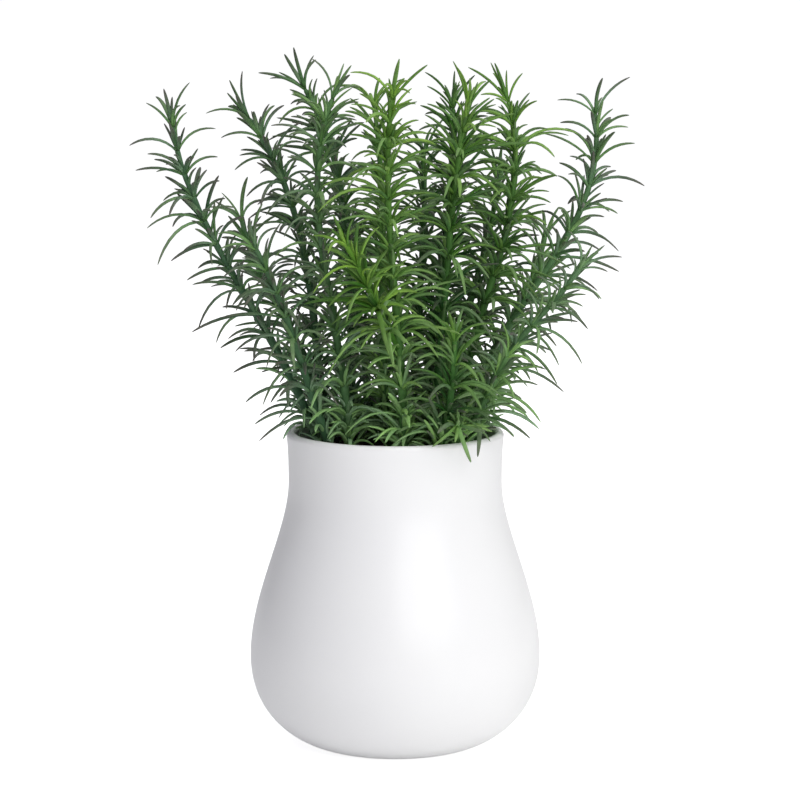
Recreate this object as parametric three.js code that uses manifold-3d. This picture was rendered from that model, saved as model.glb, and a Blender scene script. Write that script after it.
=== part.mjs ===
// A potted herb: leafy stems with whorls of needle-like leaves, standing in potting soil in a
// pear-shaped glazed pot. Units are millimetres, +Z is up, the front is -Y, and the origin is the
// centre of the pot's flat base.
import * as THREE from 'three';
import { mergeVertices } from 'three/addons/utils/BufferGeometryUtils.js';
import Module from 'manifold-3d';

// ---- Pot: outer outline, wall and lip ----
const POT_HEIGHT = 133;
const BASE_RADIUS = 28;
const BELLY_RADIUS = 60.6;
const BELLY_Z = 38.3;
const NECK_RADIUS = 44.4;
const NECK_Z = 111.6;
const RIM_RADIUS = 45.2;
const BASE_PULL = 6.3; // lengths of the outline's curve handles
const BELLY_PULL_DOWN = 30.2;
const BELLY_PULL_UP = 26;
const NECK_PULL = 20;
const WALL = 3.8;
const POT_SIDES = 40;
const OUTLINE_STEPS = [6, 5, 1]; // straight steps on each curve of the outline

// ---- Soil ----
const SOIL_Z = 125;
const SOIL_GAP = 0.3; // clearance to the pot's wall and floor
const SOIL_SIDES = 18;
const HOLE_GAP = 0.35; // clearance round a stem
const ROOT_DEPTH = 28; // how far a stem stands in the soil
const HOLE_BOTTOM_GAP = 0.3;
const SOIL_LUMP = 0.7; // height of the soil's unevenness
const SOIL_LUMP_PITCH = 4.5;

// ---- Stems ----
const STEM_SIDES = 4; // the square stem of the mint family
const STEM_RADIUS_ROOT = 2.1; // from the stem's middle to its corners
const STEM_RADIUS_TIP = 1.1;
const STEM_STEP = 18; // length of one straight stretch of a faceted stem
const STEM_FEWEST_STEPS = 6;
const FIRST_WHORL = 6.5; // least height of the lowest whorl over the soil
const TIP_WHORL = 2.5; // from the highest whorl to the stem's tip
const WHORL_STEP_LOW = 12.5; // spacing of the whorls at the foot and at the tip
const WHORL_STEP_HIGH = 10;

// ---- Leaves ----
const LEAVES_PER_WHORL = 4;
const LEAF_LENGTH_LOW = 24;
const LEAF_LENGTH_HIGH = 21;
const LEAF_WIDTH = 2.4;
const LEAF_THICK = 1.5;
const LEAF_WIDEST = 0.45; // where along its length a leaf is widest, and bends
const LEAF_ROOT = 0.1; // how far from the stem's axis a leaf starts, in stem radii
const LEAF_OPEN = 0.7; // angle from the stem at a leaf's root and at its tip, in radians
const LEAF_CLOSE = 1.62;
const LEAF_LEAST_TURN = 0.1; // least difference between those two angles
const TUFT_OPEN = 0.3; // the same two angles at the very tip of a stem
const TUFT_CLOSE = 1.15;
const TUFT_REACH = 26; // the length of stem over which a leaf goes from the one to the other
const TUFT_SCALE = 0.9; // size of the leaves at the tip
const LEAF_DROOP_LOW = 9; // how far its weight pulls a leaf's tip down, low and high on a stem
const LEAF_DROOP_HIGH = 3.5;
const TUFT_DROOP = 1;
const CLEARANCE = 0.4; // least gap between one sprig and the next
const SAMPLE_STEP = 2.2; // spacing of the points that stand for a leaf in the clearance test
const CELL = 6;

// Each sprig's route over the soil, as the four points of a cubic curve, from its root to its tip.
const SPRIGS = {
  sprig_far_left: [[-32, -2, 125], [-42, -5, 170], [-85, -10, 214], [-91, -14, 262]],
  sprig_left: [[-28, 10, 125], [-36, 13, 180], [-32, 15, 221], [-62, 18, 263]],
  sprig_left_back: [[-18, 22, 125], [-20, 28, 186], [-13, 32, 229], [-39, 38, 274]],
  sprig_left_front: [[-19, -11, 125], [-20, -11, 182], [-43, -9, 226], [-25, -8, 273]],
  sprig_centre_front: [[4, -24, 125], [3, -29, 185], [-7, -33, 229], [-1, -38, 275]],
  sprig_middle_back: [[12, 15, 125], [14, 18, 183], [28, 22, 221], [24, 26, 267]],
  sprig_middle: [[14, -6, 125], [22, -9, 181], [20, -13, 225], [30, -17, 270]],
  sprig_right_middle: [[24, 3, 125], [29, 3, 185], [60, 5, 221], [46, 6, 271]],
  sprig_far_right: [[30, 9, 125], [33, 12, 184], [91, 16, 206], [83, 20, 265]],
  sprig_right_low: [[31, -6, 125], [39, -13, 170], [61, -18, 180], [76, -21, 204]],
  sprig_right_short: [[27, -18, 125], [34, -26, 148], [40, -31, 156], [46, -36, 170]],
  sprig_front_short: [[17, -29, 125], [23, -33, 148], [24, -36, 161], [24, -41, 177]],
  sprig_left_low: [[-26, -15, 125], [-38, -20, 160], [-44, -25, 188], [-57, -30, 213]],
  sprig_back_far_left: [[-27, 21, 125], [-34, 30, 165], [-58, 42, 185], [-66, 58, 216]],
  sprig_back_left: [[-10, 33, 125], [-13, 42, 170], [-20, 60, 200], [-26, 74, 236]],
  sprig_back: [[7, 29, 125], [8, 38, 175], [14, 52, 205], [12, 66, 243]],
  sprig_back_right: [[19, 27, 125], [24, 36, 170], [40, 50, 195], [44, 66, 232]],
  sprig_back_far_right: [[29, 20, 125], [36, 30, 160], [58, 40, 178], [64, 50, 210]],
  sprig_centre_back: [[-3, 3, 125], [-8, 5, 180], [-2, 9, 226], [-9, 13, 268]],
  sprig_over_rim: [[24.5, -26, 125], [25.5, -29, 138], [25.5, -35, 144], [25.5, -43.5, 141]],
};

// A side shoot grows from its sprig's stem, a share of the way up.
const SHOOTS = {
  sprig_centre_front: { from: 0.3, route: [[-8, -37, 188], [-12, -44, 202], [-20, -50, 216]] },
};

// ---- Drawing by rule ----

// A draw from 0 to 1 that depends only on the whole numbers it is given.
function draw(a, b, c, d) {
  let h = Math.imul(a, 73856093) ^ Math.imul(b, 19349663);
  h ^= Math.imul(c, 83492791) ^ Math.imul(d, 2654435761);
  for (let i = 0; i < 2; i += 1) {
    h = Math.imul(h ^ (h >>> 16), 0x45d9f3b);
  }
  return ((h ^ (h >>> 16)) >>> 0) / 2 ** 32;
}

const around = (middle, spread, value) => middle + spread * (2 * value - 1);
const blend = (low, high, share) => low + (high - low) * share;
const vector = (point) => new THREE.Vector3(...point);

// ---- Solids: booleans through manifold-3d ----

const wasm = await Module();
wasm.setup();

function toSolid(geometry) {
  const bare = geometry.clone();
  bare.deleteAttribute('normal');
  bare.deleteAttribute('uv');
  const merged = mergeVertices(bare, 1e-4);
  return new wasm.Manifold(new wasm.Mesh({
    numProp: 3,
    vertProperties: merged.attributes.position.array,
    triVerts: new Uint32Array(merged.index.array),
  }));
}

function toGeometry(solid) {
  const mesh = solid.getMesh();
  return new THREE.BufferGeometry()
    .setAttribute('position', new THREE.BufferAttribute(mesh.vertProperties, 3))
    .setIndex(new THREE.BufferAttribute(mesh.triVerts, 1));
}

// The main body of a union, without loose scraps and with the hollows that it seals filled.
function mainBody(solid) {
  return solid.decompose().reduce((most, body) => (body.volume() > most.volume() ? body : most));
}

function part(name, geometry, material) {
  const mesh = new THREE.Mesh(geometry, material);
  mesh.name = name;
  return mesh;
}

// ---- Pot and soil ----

// The pot's outer outline from the edge of its base up to its lip.
function potOutline() {
  const outline = new THREE.Path();
  outline.moveTo(BASE_RADIUS, 0);
  outline.bezierCurveTo(
    BASE_RADIUS + BASE_PULL, 0,
    BELLY_RADIUS, BELLY_Z - BELLY_PULL_DOWN,
    BELLY_RADIUS, BELLY_Z,
  );
  outline.bezierCurveTo(
    BELLY_RADIUS, BELLY_Z + BELLY_PULL_UP,
    NECK_RADIUS, NECK_Z - NECK_PULL,
    NECK_RADIUS, NECK_Z,
  );
  outline.quadraticCurveTo(
    NECK_RADIUS, blend(NECK_Z, POT_HEIGHT, 0.6),
    RIM_RADIUS, POT_HEIGHT - WALL / 2,
  );
  return outline.curves.flatMap((curve, i) => curve.getPoints(OUTLINE_STEPS[i]).slice(i ? 1 : 0));
}

// Every second point of the outline, moved inwards, without what would fall below the floor.
function inset(outline, distance) {
  return outline.map((point, i) => {
    const before = outline[Math.max(i - 1, 0)];
    const after = outline[Math.min(i + 1, outline.length - 1)];
    const along = after.clone().sub(before).normalize();
    return new THREE.Vector2(point.x - along.y * distance, point.y + along.x * distance);
  }).filter((point, i) => i % 2 === 1 && point.y > distance);
}

function potGeometry(outline) {
  const inner = inset(outline, WALL);
  const lip = [0.25, 0.5, 0.75].map((share) => {
    const angle = Math.PI * share;
    return new THREE.Vector2(
      RIM_RADIUS - (WALL / 2) * (1 - Math.cos(angle)),
      POT_HEIGHT - WALL / 2 + (WALL / 2) * Math.sin(angle),
    );
  });
  const floor = [new THREE.Vector2(BASE_RADIUS, WALL), new THREE.Vector2(0, WALL)];
  const profile = [new THREE.Vector2(0, 0), ...outline, ...lip, ...inner.reverse(), ...floor];
  return new THREE.LatheGeometry(profile, POT_SIDES);
}

function soilGeometry(outline, roots) {
  const wall = inset(outline, WALL + SOIL_GAP).filter((point) => point.y < SOIL_Z - SOIL_LUMP);
  const edge = wall[wall.length - 1].x;
  const floorZ = WALL + SOIL_GAP;
  const top = [1, 0.55].map((share) => new THREE.Vector2(edge * share, SOIL_Z));
  const profile = [
    new THREE.Vector2(0, floorZ), new THREE.Vector2(BASE_RADIUS, floorZ),
    ...wall, ...top, new THREE.Vector2(0, SOIL_Z),
  ];
  const bulk = new THREE.LatheGeometry(profile, SOIL_SIDES).rotateX(Math.PI / 2);
  const place = bulk.attributes.position;
  for (let i = 0; i < place.count; i += 1) {
    if (place.getZ(i) > SOIL_Z - SOIL_LUMP / 2) {
      const lump = Math.sin(place.getX(i) / SOIL_LUMP_PITCH) * Math.cos(place.getY(i) / SOIL_LUMP_PITCH);
      place.setZ(i, SOIL_Z + SOIL_LUMP * lump);
    }
  }
  const depth = ROOT_DEPTH + HOLE_BOTTOM_GAP + 2 * SOIL_LUMP;
  const radius = STEM_RADIUS_ROOT + HOLE_GAP / Math.cos(Math.PI / STEM_SIDES);
  const holes = roots.map((root) => toSolid(
    new THREE.CylinderGeometry(radius, radius, depth, STEM_SIDES)
      .rotateX(Math.PI / 2)
      .translate(root[0], root[1], SOIL_Z + 2 * SOIL_LUMP - depth / 2),
  ));
  return toGeometry(toSolid(bulk).subtract(wasm.Manifold.union(holes)));
}

// ---- Clearance between sprigs ----

// Holds points that stand for what is already placed, so that a new leaf can be kept clear of it.
class Occupied {
  constructor() {
    this.cells = new Map();
  }

  key(x, y, z) {
    return `${Math.floor(x)},${Math.floor(y)},${Math.floor(z)}`;
  }

  add(point, radius, owner) {
    const key = this.key(point.x / CELL, point.y / CELL, point.z / CELL);
    if (!this.cells.has(key)) this.cells.set(key, []);
    this.cells.get(key).push({ point, radius, owner });
  }

  isFree(point, radius, owner) {
    for (let cell = 0; cell < 27; cell += 1) {
      const key = this.key(
        point.x / CELL + (cell % 3) - 1,
        point.y / CELL + (Math.floor(cell / 3) % 3) - 1,
        point.z / CELL + Math.floor(cell / 9) - 1,
      );
      for (const other of this.cells.get(key) ?? []) {
        const reach = radius + other.radius + CLEARANCE;
        if (other.owner !== owner && point.distanceTo(other.point) < Math.hypot(reach, SAMPLE_STEP / 2)) {
          return false;
        }
      }
    }
    return true;
  }
}

// Points along straight stretches, each with the radius there, to stand for what runs along them.
function samplesAlong(points, radii) {
  return points.slice(1).flatMap((end, i) => {
    const start = points[i];
    const count = Math.ceil(start.distanceTo(end) / SAMPLE_STEP);
    return Array.from({ length: count }, (_, k) => {
      const share = (k + 1) / count;
      return [start.clone().lerp(end, share), blend(radii[i], radii[i + 1], share)];
    });
  });
}

// Whether a point stays off the pot's lip and wall, and above the soil inside them.
function clearsPot(point, radius) {
  const margin = radius + 2 * CLEARANCE;
  const out = Math.hypot(point.x, point.y);
  if (out > RIM_RADIUS + margin || point.z > POT_HEIGHT + margin) return true;
  return out < RIM_RADIUS - WALL - margin && point.z > SOIL_Z + SOIL_LUMP + margin;
}

// ---- Stems ----

// A stem as a curve, with the number of its straight stretches and the radius at its two ends.
function makeStem(route, radiusRoot, radiusTip, buried) {
  const curve = new THREE.CubicBezierCurve3(...route.map(vector));
  const length = curve.getLength();
  const steps = Math.max(Math.ceil(length / STEM_STEP), STEM_FEWEST_STEPS);
  return { curve, length, steps, radiusRoot, radiusTip, buried };
}

const stemRadius = (stem, share) => blend(stem.radiusRoot, stem.radiusTip, share);

// Two directions square to the stem, from one fixed side direction.
function stemSides(along) {
  const u = new THREE.Vector3(1, 0, 0).addScaledVector(along, -along.x).normalize();
  return [u, new THREE.Vector3().crossVectors(along, u)];
}

// A closed skin through rings of points, from a cap on the first ring to a point at the end.
function skin(rings, end) {
  const sides = rings[0].length;
  const points = [...rings.flat(), end];
  const faces = [];
  for (let i = 2; i < sides; i += 1) faces.push(0, i, i - 1);
  for (let r = 0; r < rings.length; r += 1) {
    for (let i = 0; i < sides; i += 1) {
      const a = r * sides + i;
      const b = r * sides + ((i + 1) % sides);
      if (r + 1 < rings.length) faces.push(a, b, b + sides, a, b + sides, a + sides);
      else faces.push(a, b, points.length - 1);
    }
  }
  return new THREE.BufferGeometry().setFromPoints(points).setIndex(faces);
}

function stemGeometry(stem) {
  const rings = [];
  const ring = (centre, along, radius) => {
    const [u, v] = stemSides(along);
    rings.push(Array.from({ length: STEM_SIDES }, (_, i) => {
      const angle = (2 * Math.PI * i) / STEM_SIDES;
      return centre.clone()
        .addScaledVector(u, radius * Math.cos(angle))
        .addScaledVector(v, radius * Math.sin(angle));
    }));
  };
  if (stem.buried) {
    const up = new THREE.Vector3(0, 0, 1);
    const root = stem.curve.getPoint(0);
    ring(root.clone().setZ(root.z - ROOT_DEPTH), up, stem.radiusRoot);
    ring(root, up, stem.radiusRoot);
  }
  for (let i = stem.buried ? 1 : 0; i <= stem.steps; i += 1) {
    const share = i / stem.steps;
    ring(stem.curve.getPointAt(share), stem.curve.getTangentAt(share), stemRadius(stem, share));
  }
  const end = stem.curve.getPoint(1).addScaledVector(stem.curve.getTangent(1), 2 * stem.radiusTip);
  return skin(rings, end);
}

function stemSamples(stem) {
  const shares = Array.from({ length: stem.steps + 1 }, (_, i) => i / stem.steps);
  return samplesAlong(
    shares.map((share) => stem.curve.getPointAt(share)),
    shares.map((share) => stemRadius(stem, share)),
  );
}

// The whorls' distances up the stem, counted down from its tip, and further apart low down.
function whorlPlaces(stem) {
  const places = [];
  const lowest = stem.buried ? FIRST_WHORL : WHORL_STEP_HIGH / 2;
  let at = stem.length - TIP_WHORL;
  while (at > lowest) {
    places.unshift(at);
    at -= blend(WHORL_STEP_LOW, WHORL_STEP_HIGH, at / stem.length);
  }
  return places;
}

// ---- Leaves ----

// A leaf as an arc that leaves the stem, bends away from it, and sags a little at its tip.
function leafPoint(leaf, t) {
  const turn = leaf.close - leaf.open;
  const angle = leaf.open + turn * t;
  const forward = (leaf.length * (Math.sin(angle) - Math.sin(leaf.open))) / turn;
  const outward = (leaf.length * (Math.cos(leaf.open) - Math.cos(angle))) / turn;
  const point = leaf.root.clone().addScaledVector(leaf.along, forward).addScaledVector(leaf.out, outward);
  point.z -= leaf.droop * t * t;
  return point;
}

// A three-sided needle from a point inside the stem, through its widest place, to its tip.
function leafGeometry(leaf) {
  const side = new THREE.Vector3().crossVectors(leaf.along, leaf.out);
  const centre = leafPoint(leaf, LEAF_WIDEST);
  const along = leafPoint(leaf, 1).sub(leaf.root).normalize();
  const back = new THREE.Vector3().crossVectors(side, along);
  const half = (LEAF_WIDTH * leaf.scale) / 2;
  const keel = LEAF_THICK * leaf.scale;
  const ring = [[half, -keel / 3], [-half, -keel / 3], [0, (2 * keel) / 3]].map(([x, y]) => (
    centre.clone().addScaledVector(side, x).addScaledVector(back, y)
  ));
  return new THREE.BufferGeometry()
    .setFromPoints([leaf.root, ...ring, leafPoint(leaf, 1)])
    .setIndex([0, 2, 1, 0, 3, 2, 0, 1, 3, 4, 1, 2, 4, 2, 3, 4, 3, 1]);
}

function leafSamples(leaf) {
  const points = [leaf.start, leafPoint(leaf, LEAF_WIDEST), leafPoint(leaf, 1)];
  return samplesAlong(points, [0, (LEAF_WIDTH * leaf.scale) / 2, 0]);
}

// How a leaf may be turned about the stem, opened and shortened, in the order it is tried.
const BENDS = [
  [0, 0, 1], [0.25, 0, 1], [-0.25, 0, 1], [0, -0.3, 1], [0, 0.3, 1], [0.45, -0.15, 1],
  [-0.45, -0.15, 1], [0.25, -0.5, 0.9], [-0.25, -0.5, 0.9], [0, 0.5, 0.85], [0, -0.7, 0.8],
];

function makeLeaf(stem, sprig, whorl, at, index, bend) {
  const share = at / stem.length;
  const value = (channel) => draw(sprig, whorl, index, channel);
  const along = stem.curve.getTangentAt(share);
  const [u, v] = stemSides(along);
  const phase = whorl * (Math.PI / LEAVES_PER_WHORL) + 2 * Math.PI * draw(sprig, 1, 1, 1);
  const facing = phase + (2 * Math.PI * index) / LEAVES_PER_WHORL + around(0, 0.3, value(2)) + bend[0];
  const out = u.clone().multiplyScalar(Math.cos(facing)).addScaledVector(v, Math.sin(facing));
  const young = Math.max(0, 1 - (stem.length - at) / TUFT_REACH);
  const scale = blend(1, TUFT_SCALE, young);
  const length = blend(LEAF_LENGTH_LOW, LEAF_LENGTH_HIGH, share) * around(1, 0.22, value(3)) * scale;
  const open = blend(LEAF_OPEN, TUFT_OPEN, young) + around(0, 0.24, value(4));
  const close = blend(LEAF_CLOSE, TUFT_CLOSE, young) + around(0, 0.6, value(5)) + bend[1];
  const droop = blend(blend(LEAF_DROOP_LOW, LEAF_DROOP_HIGH, share), TUFT_DROOP, young);
  const radius = stemRadius(stem, share);
  const axis = stem.curve.getPointAt(share);
  return {
    start: axis.clone().addScaledVector(out, 0.7 * radius),
    root: axis.addScaledVector(out, LEAF_ROOT * radius),
    along,
    out,
    scale,
    open,
    close: Math.max(close, open + LEAF_LEAST_TURN),
    length: length * bend[2],
    droop: droop * around(1, 0.8, value(8)),
  };
}

// The leaf's first bend that keeps it clear of the pot, the soil and the other sprigs.
function placeLeaf(stem, sprig, whorl, at, index, occupied) {
  for (const bend of BENDS) {
    const leaf = makeLeaf(stem, sprig, whorl, at, index, bend);
    const samples = leafSamples(leaf);
    if (samples.every(([p, r]) => clearsPot(p, r) && occupied.isFree(p, r, sprig))) {
      samples.forEach(([p, r]) => occupied.add(p, r, sprig));
      return leaf;
    }
  }
  return null;
}

// ---- Assembly ----

const glaze = new THREE.MeshStandardMaterial({ color: 0xf1f1ef, roughness: 0.28, metalness: 0 });
const earth = new THREE.MeshStandardMaterial({ color: 0x2b2019, roughness: 0.95, metalness: 0 });
const foliage = new THREE.MeshStandardMaterial({ color: 0x35652f, roughness: 0.5, metalness: 0 });

// The stems of one sprig: its main stem, and its side shoot if it has one.
function stemsOf(name) {
  const main = makeStem(SPRIGS[name], STEM_RADIUS_ROOT, STEM_RADIUS_TIP, true);
  const shoot = SHOOTS[name];
  if (!shoot) return [main];
  const start = main.curve.getPointAt(shoot.from).toArray();
  return [main, makeStem([start, ...shoot.route], STEM_RADIUS_TIP * 1.2, STEM_RADIUS_TIP, false)];
}

function buildSprigs() {
  const occupied = new Occupied();
  const sprigs = Object.keys(SPRIGS).map((name, i) => ({ name, number: i + 1, stems: stemsOf(name) }));
  for (const { number, stems } of sprigs) {
    for (const stem of stems) {
      stemSamples(stem).forEach(([point, radius]) => occupied.add(point, radius, number));
    }
  }
  return sprigs.map(({ name, number, stems }) => {
    const solids = stems.map((stem) => toSolid(stemGeometry(stem)));
    stems.forEach((stem, branch) => {
      whorlPlaces(stem).forEach((at, whorl) => {
        for (let index = 0; index < LEAVES_PER_WHORL; index += 1) {
          const leaf = placeLeaf(stem, number, whorl + 100 * branch, at, index, occupied);
          if (leaf) solids.push(toSolid(leafGeometry(leaf)));
        }
      });
    });
    return part(name, toGeometry(mainBody(wasm.Manifold.union(solids))), foliage);
  });
}

const plant = new THREE.Group();
const outline = potOutline();
const roots = Object.values(SPRIGS).map((route) => route[0]);
plant.add(part('pot', potGeometry(outline).rotateX(Math.PI / 2), glaze));
plant.add(part('soil', soilGeometry(outline, roots), earth));
plant.add(...buildSprigs());

export default plant;
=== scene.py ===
"""A potted herb: needle-leaved stems in potting soil, in a pear-shaped pot of white glazed ceramic.

The frame's solids are in metres. The shapes here are worked out in millimetres and scaled once.
Angles are in radians, unless a name or a comment says degrees.
"""
import math

import bpy
import numpy as np
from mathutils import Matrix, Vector


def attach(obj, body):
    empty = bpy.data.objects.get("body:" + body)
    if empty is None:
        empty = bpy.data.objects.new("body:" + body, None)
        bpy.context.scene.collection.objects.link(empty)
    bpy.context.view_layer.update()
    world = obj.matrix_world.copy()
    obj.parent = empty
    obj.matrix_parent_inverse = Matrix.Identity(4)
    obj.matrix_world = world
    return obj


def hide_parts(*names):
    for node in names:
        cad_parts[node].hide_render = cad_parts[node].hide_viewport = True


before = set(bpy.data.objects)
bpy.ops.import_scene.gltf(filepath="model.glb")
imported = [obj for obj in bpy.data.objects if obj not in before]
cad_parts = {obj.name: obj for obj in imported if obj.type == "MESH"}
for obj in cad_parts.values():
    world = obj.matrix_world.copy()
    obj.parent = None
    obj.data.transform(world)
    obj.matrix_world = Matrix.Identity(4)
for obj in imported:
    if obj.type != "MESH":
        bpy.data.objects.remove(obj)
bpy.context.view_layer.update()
MM = 0.001

# ---- Pot and soil ----
# The pot's outer side runs through its base, belly, neck and rim. A pull is how far a curve keeps
# its direction there.
POT_HEIGHT = 133
BASE_RADIUS = 28
BELLY_RADIUS = 60.6
BELLY_Z = 38.3
NECK_RADIUS = 44.4
NECK_Z = 111.6
RIM_RADIUS = 45.2
BASE_PULL = 6.3
BELLY_PULL_DOWN = 30.2
BELLY_PULL_UP = 26
NECK_PULL = 20
NECK_BEND = 0.6  # where the neck starts to open out to the rim, as a share of the way up
LOWER_STEPS = 26
UPPER_STEPS = 30
NECK_STEPS = 8
LIP_STEPS = 10
POT_SIDES = 144
WALL = 3.8
SOIL_Z = 125
SOIL_LUMP = 0.7  # height of the solid soil's unevenness
SOIL_GAP = 0.3  # clearance to the pot's wall and floor
SOIL_SINK = 0.4  # how far the fine soil's mean level lies under the solid's
SOIL_SIDES = 180
SOIL_RINGS = 46
SOIL_WAVES = 60
SOIL_WAVE_HEIGHT = 0.16
SOIL_LOWEST = -1.2
SOIL_HIGHEST = 1.3
SOIL_FADE = 2  # over this width the crumbs level out at the wall
FOOT_RING = 3.5  # width of the base's rounded edge
BARE_INSET = 1  # how far the unglazed foot stays inside the base
FLOOR_REACH = 0.4  # faces of the pot below this height may be the unglazed foot

# ---- Stems and whorls ----
STEM_CORNER_ROOT = 2.1
STEM_CORNER_TIP = 1.1
STEM_STEP = 18
STEM_FEWEST_STEPS = 6
FIRST_WHORL = 6.5
TIP_WHORL = 2.5
WHORL_STEP_LOW = 12.5
WHORL_STEP_HIGH = 10

# ---- Leaves ----
LEAVES_PER_WHORL = 4
LEAF_LENGTH_LOW = 24
LEAF_LENGTH_HIGH = 21
LEAF_LENGTH_SPREAD = 0.22
SOLID_WIDTH = 2.4
LEAF_WIDEST = 0.45
LEAF_START = 0.7  # where a leaf leaves its stem and where its curve is rooted, in stem radii
LEAF_ROOT = 0.1
LEAF_FACING_SPREAD = 0.3
LEAF_OPEN = 0.7  # a leaf's angle to its stem, at its root and at its tip
LEAF_OPEN_SPREAD = 0.24
LEAF_OPEN_LEAST = 0.08
LEAF_CLOSE = 1.62
LEAF_CLOSE_SPREAD = 0.6
LEAF_LEAST_TURN = 0.1
TUFT_OPEN = 0.3
TUFT_CLOSE = 1.15
TUFT_REACH = 26
TUFT_SCALE = 0.9
LEAF_DROOP_LOW = 9
LEAF_DROOP_HIGH = 3.5
TUFT_DROOP = 1
DROOP_SPREAD = 0.8
SMALLEST_SCALE = 0.62  # width of an added leaf of no length, beside a solid leaf's
CLEARANCE = 0.4
SAMPLE_STEP = 2.2
CELL = 6

# Each sprig: its route over the soil, then how yellow-green, how pale and how full it is, each at
# its root and at its tip. The paleness is partly the sprigs' own tone and partly painted light: the
# middle back, back and back right sprigs are darker as painted shade, and the roots of the centre
# back, left back and back left sprigs are paler as painted light, deep in the foliage.
SPRIGS = {
    "sprig_far_left": ([(-32, -2, 125), (-42, -5, 170), (-85, -10, 214), (-91, -14, 262)],
        (0.08, 0.15), (0.55, 0.58), (0.15, 0.5)),
    "sprig_left": ([(-28, 10, 125), (-36, 13, 180), (-32, 15, 221), (-62, 18, 263)],
        (0.12, 0.2), (0.45, 0.6), (0.7, 0.95)),
    "sprig_left_back": ([(-18, 22, 125), (-20, 28, 186), (-13, 32, 229), (-39, 38, 274)],
        (0.2, 0.3), (0.6, 0.6), (0.6, 1.05)),
    "sprig_left_front": ([(-19, -11, 125), (-20, -11, 182), (-43, -9, 226), (-25, -8, 273)],
        (0.27, 0.35), (0.9, 0.68), (1, 0.75)),
    "sprig_centre_front": ([(4, -24, 125), (3, -29, 185), (-7, -33, 229), (-1, -38, 275)],
        (0.4, 0.8), (0.8, 0.5), (1, 1.05)),
    "sprig_middle_back": ([(12, 15, 125), (14, 18, 183), (28, 22, 221), (24, 26, 267)],
        (0.2, 0.5), (0.25, 0.4), (0.9, 1.35)),
    "sprig_middle": ([(14, -6, 125), (22, -9, 181), (20, -13, 225), (30, -17, 270)],
        (0.32, 0.72), (0.15, 0.6), (0.9, 1.35)),
    "sprig_right_middle": ([(24, 3, 125), (29, 3, 185), (60, 5, 221), (46, 6, 271)],
        (0.45, 0.62), (0.38, 0.68), (0.9, 1.4)),
    "sprig_far_right": ([(30, 9, 125), (33, 12, 184), (91, 16, 206), (83, 20, 265)],
        (0.35, 0.22), (0.85, 0.75), (0.5, 0.5)),
    "sprig_right_low": ([(31, -6, 125), (39, -13, 170), (61, -18, 180), (76, -21, 204)],
        (0.32, 0.2), (0.95, 0.85), (0.15, 0.45)),
    "sprig_right_short": ([(27, -18, 125), (34, -26, 148), (40, -31, 156), (46, -36, 170)],
        (0.35, 0.4), (0.55, 0.8), (0.3, 0.4)),
    "sprig_front_short": ([(17, -29, 125), (23, -33, 148), (24, -36, 161), (24, -41, 177)],
        (0.4, 0.55), (0.3, 0.3), (1, 1)),
    "sprig_left_low": ([(-26, -15, 125), (-38, -20, 160), (-44, -25, 188), (-57, -30, 213)],
        (0.12, 0.2), (0.6, 0.58), (0.1, 0.5)),
    "sprig_back_far_left": ([(-27, 21, 125), (-34, 30, 165), (-58, 42, 185), (-66, 58, 216)],
        (0.15, 0.25), (0.6, 0.6), (0.15, 0.4)),
    "sprig_back_left": ([(-10, 33, 125), (-13, 42, 170), (-20, 60, 200), (-26, 74, 236)],
        (0.25, 0.4), (0.55, 0.5), (0.7, 0.7)),
    "sprig_back": ([(7, 29, 125), (8, 38, 175), (14, 52, 205), (12, 66, 243)],
        (0.3, 0.4), (0.25, 0.4), (1, 1.1)),
    "sprig_back_right": ([(19, 27, 125), (24, 36, 170), (40, 50, 195), (44, 66, 232)],
        (0.35, 0.45), (0.25, 0.45), (0.9, 1.1)),
    "sprig_back_far_right": ([(29, 20, 125), (36, 30, 160), (58, 40, 178), (64, 50, 210)],
        (0.4, 0.35), (0.75, 0.8), (0.35, 0.3)),
    "sprig_centre_back": ([(-3, 3, 125), (-8, 5, 180), (-2, 9, 226), (-9, 13, 268)],
        (0.45, 0.6), (0.75, 0.5), (1, 0.8)),
    "sprig_over_rim": ([(24.5, -26, 125), (25.5, -29, 138), (25.5, -35, 144), (25.5, -43.5, 141)],
        (0.4, 0.45), (0.9, 1), (0.5, 0.35)),
}
# A side shoot: how far up its sprig's stem it starts, the rest of its route, and the same three.
SHOOTS = {
    "sprig_centre_front": (0.3, [(-8, -37, 188), (-12, -44, 202), (-20, -50, 216)],
        (0.7, 0.95), (0.3, 0.42), (1, 1)),
}
SHOOT_ROOT = 1.2  # a side shoot's radius at its root, in tip radii


# ---- Drawing by rule, as in the solids ----

def draw(a, b, c, d):
    """A draw from 0 to 1 that depends only on the whole numbers it is given."""
    mask = 0xFFFFFFFF
    h = (a * 73856093) ^ (b * 19349663) ^ (c * 83492791) ^ (d * 2654435761)
    h &= mask
    for _ in range(2):
        h = ((h ^ (h >> 16)) * 0x45D9F3B) & mask
    return (h ^ (h >> 16)) / 2**32


def around(middle, spread, value):
    return middle + spread * (2 * value - 1)


def blend(low, high, share):
    return low + (high - low) * share


def unit(vector):
    return vector / np.linalg.norm(vector)


# ---- Stems ----

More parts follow.
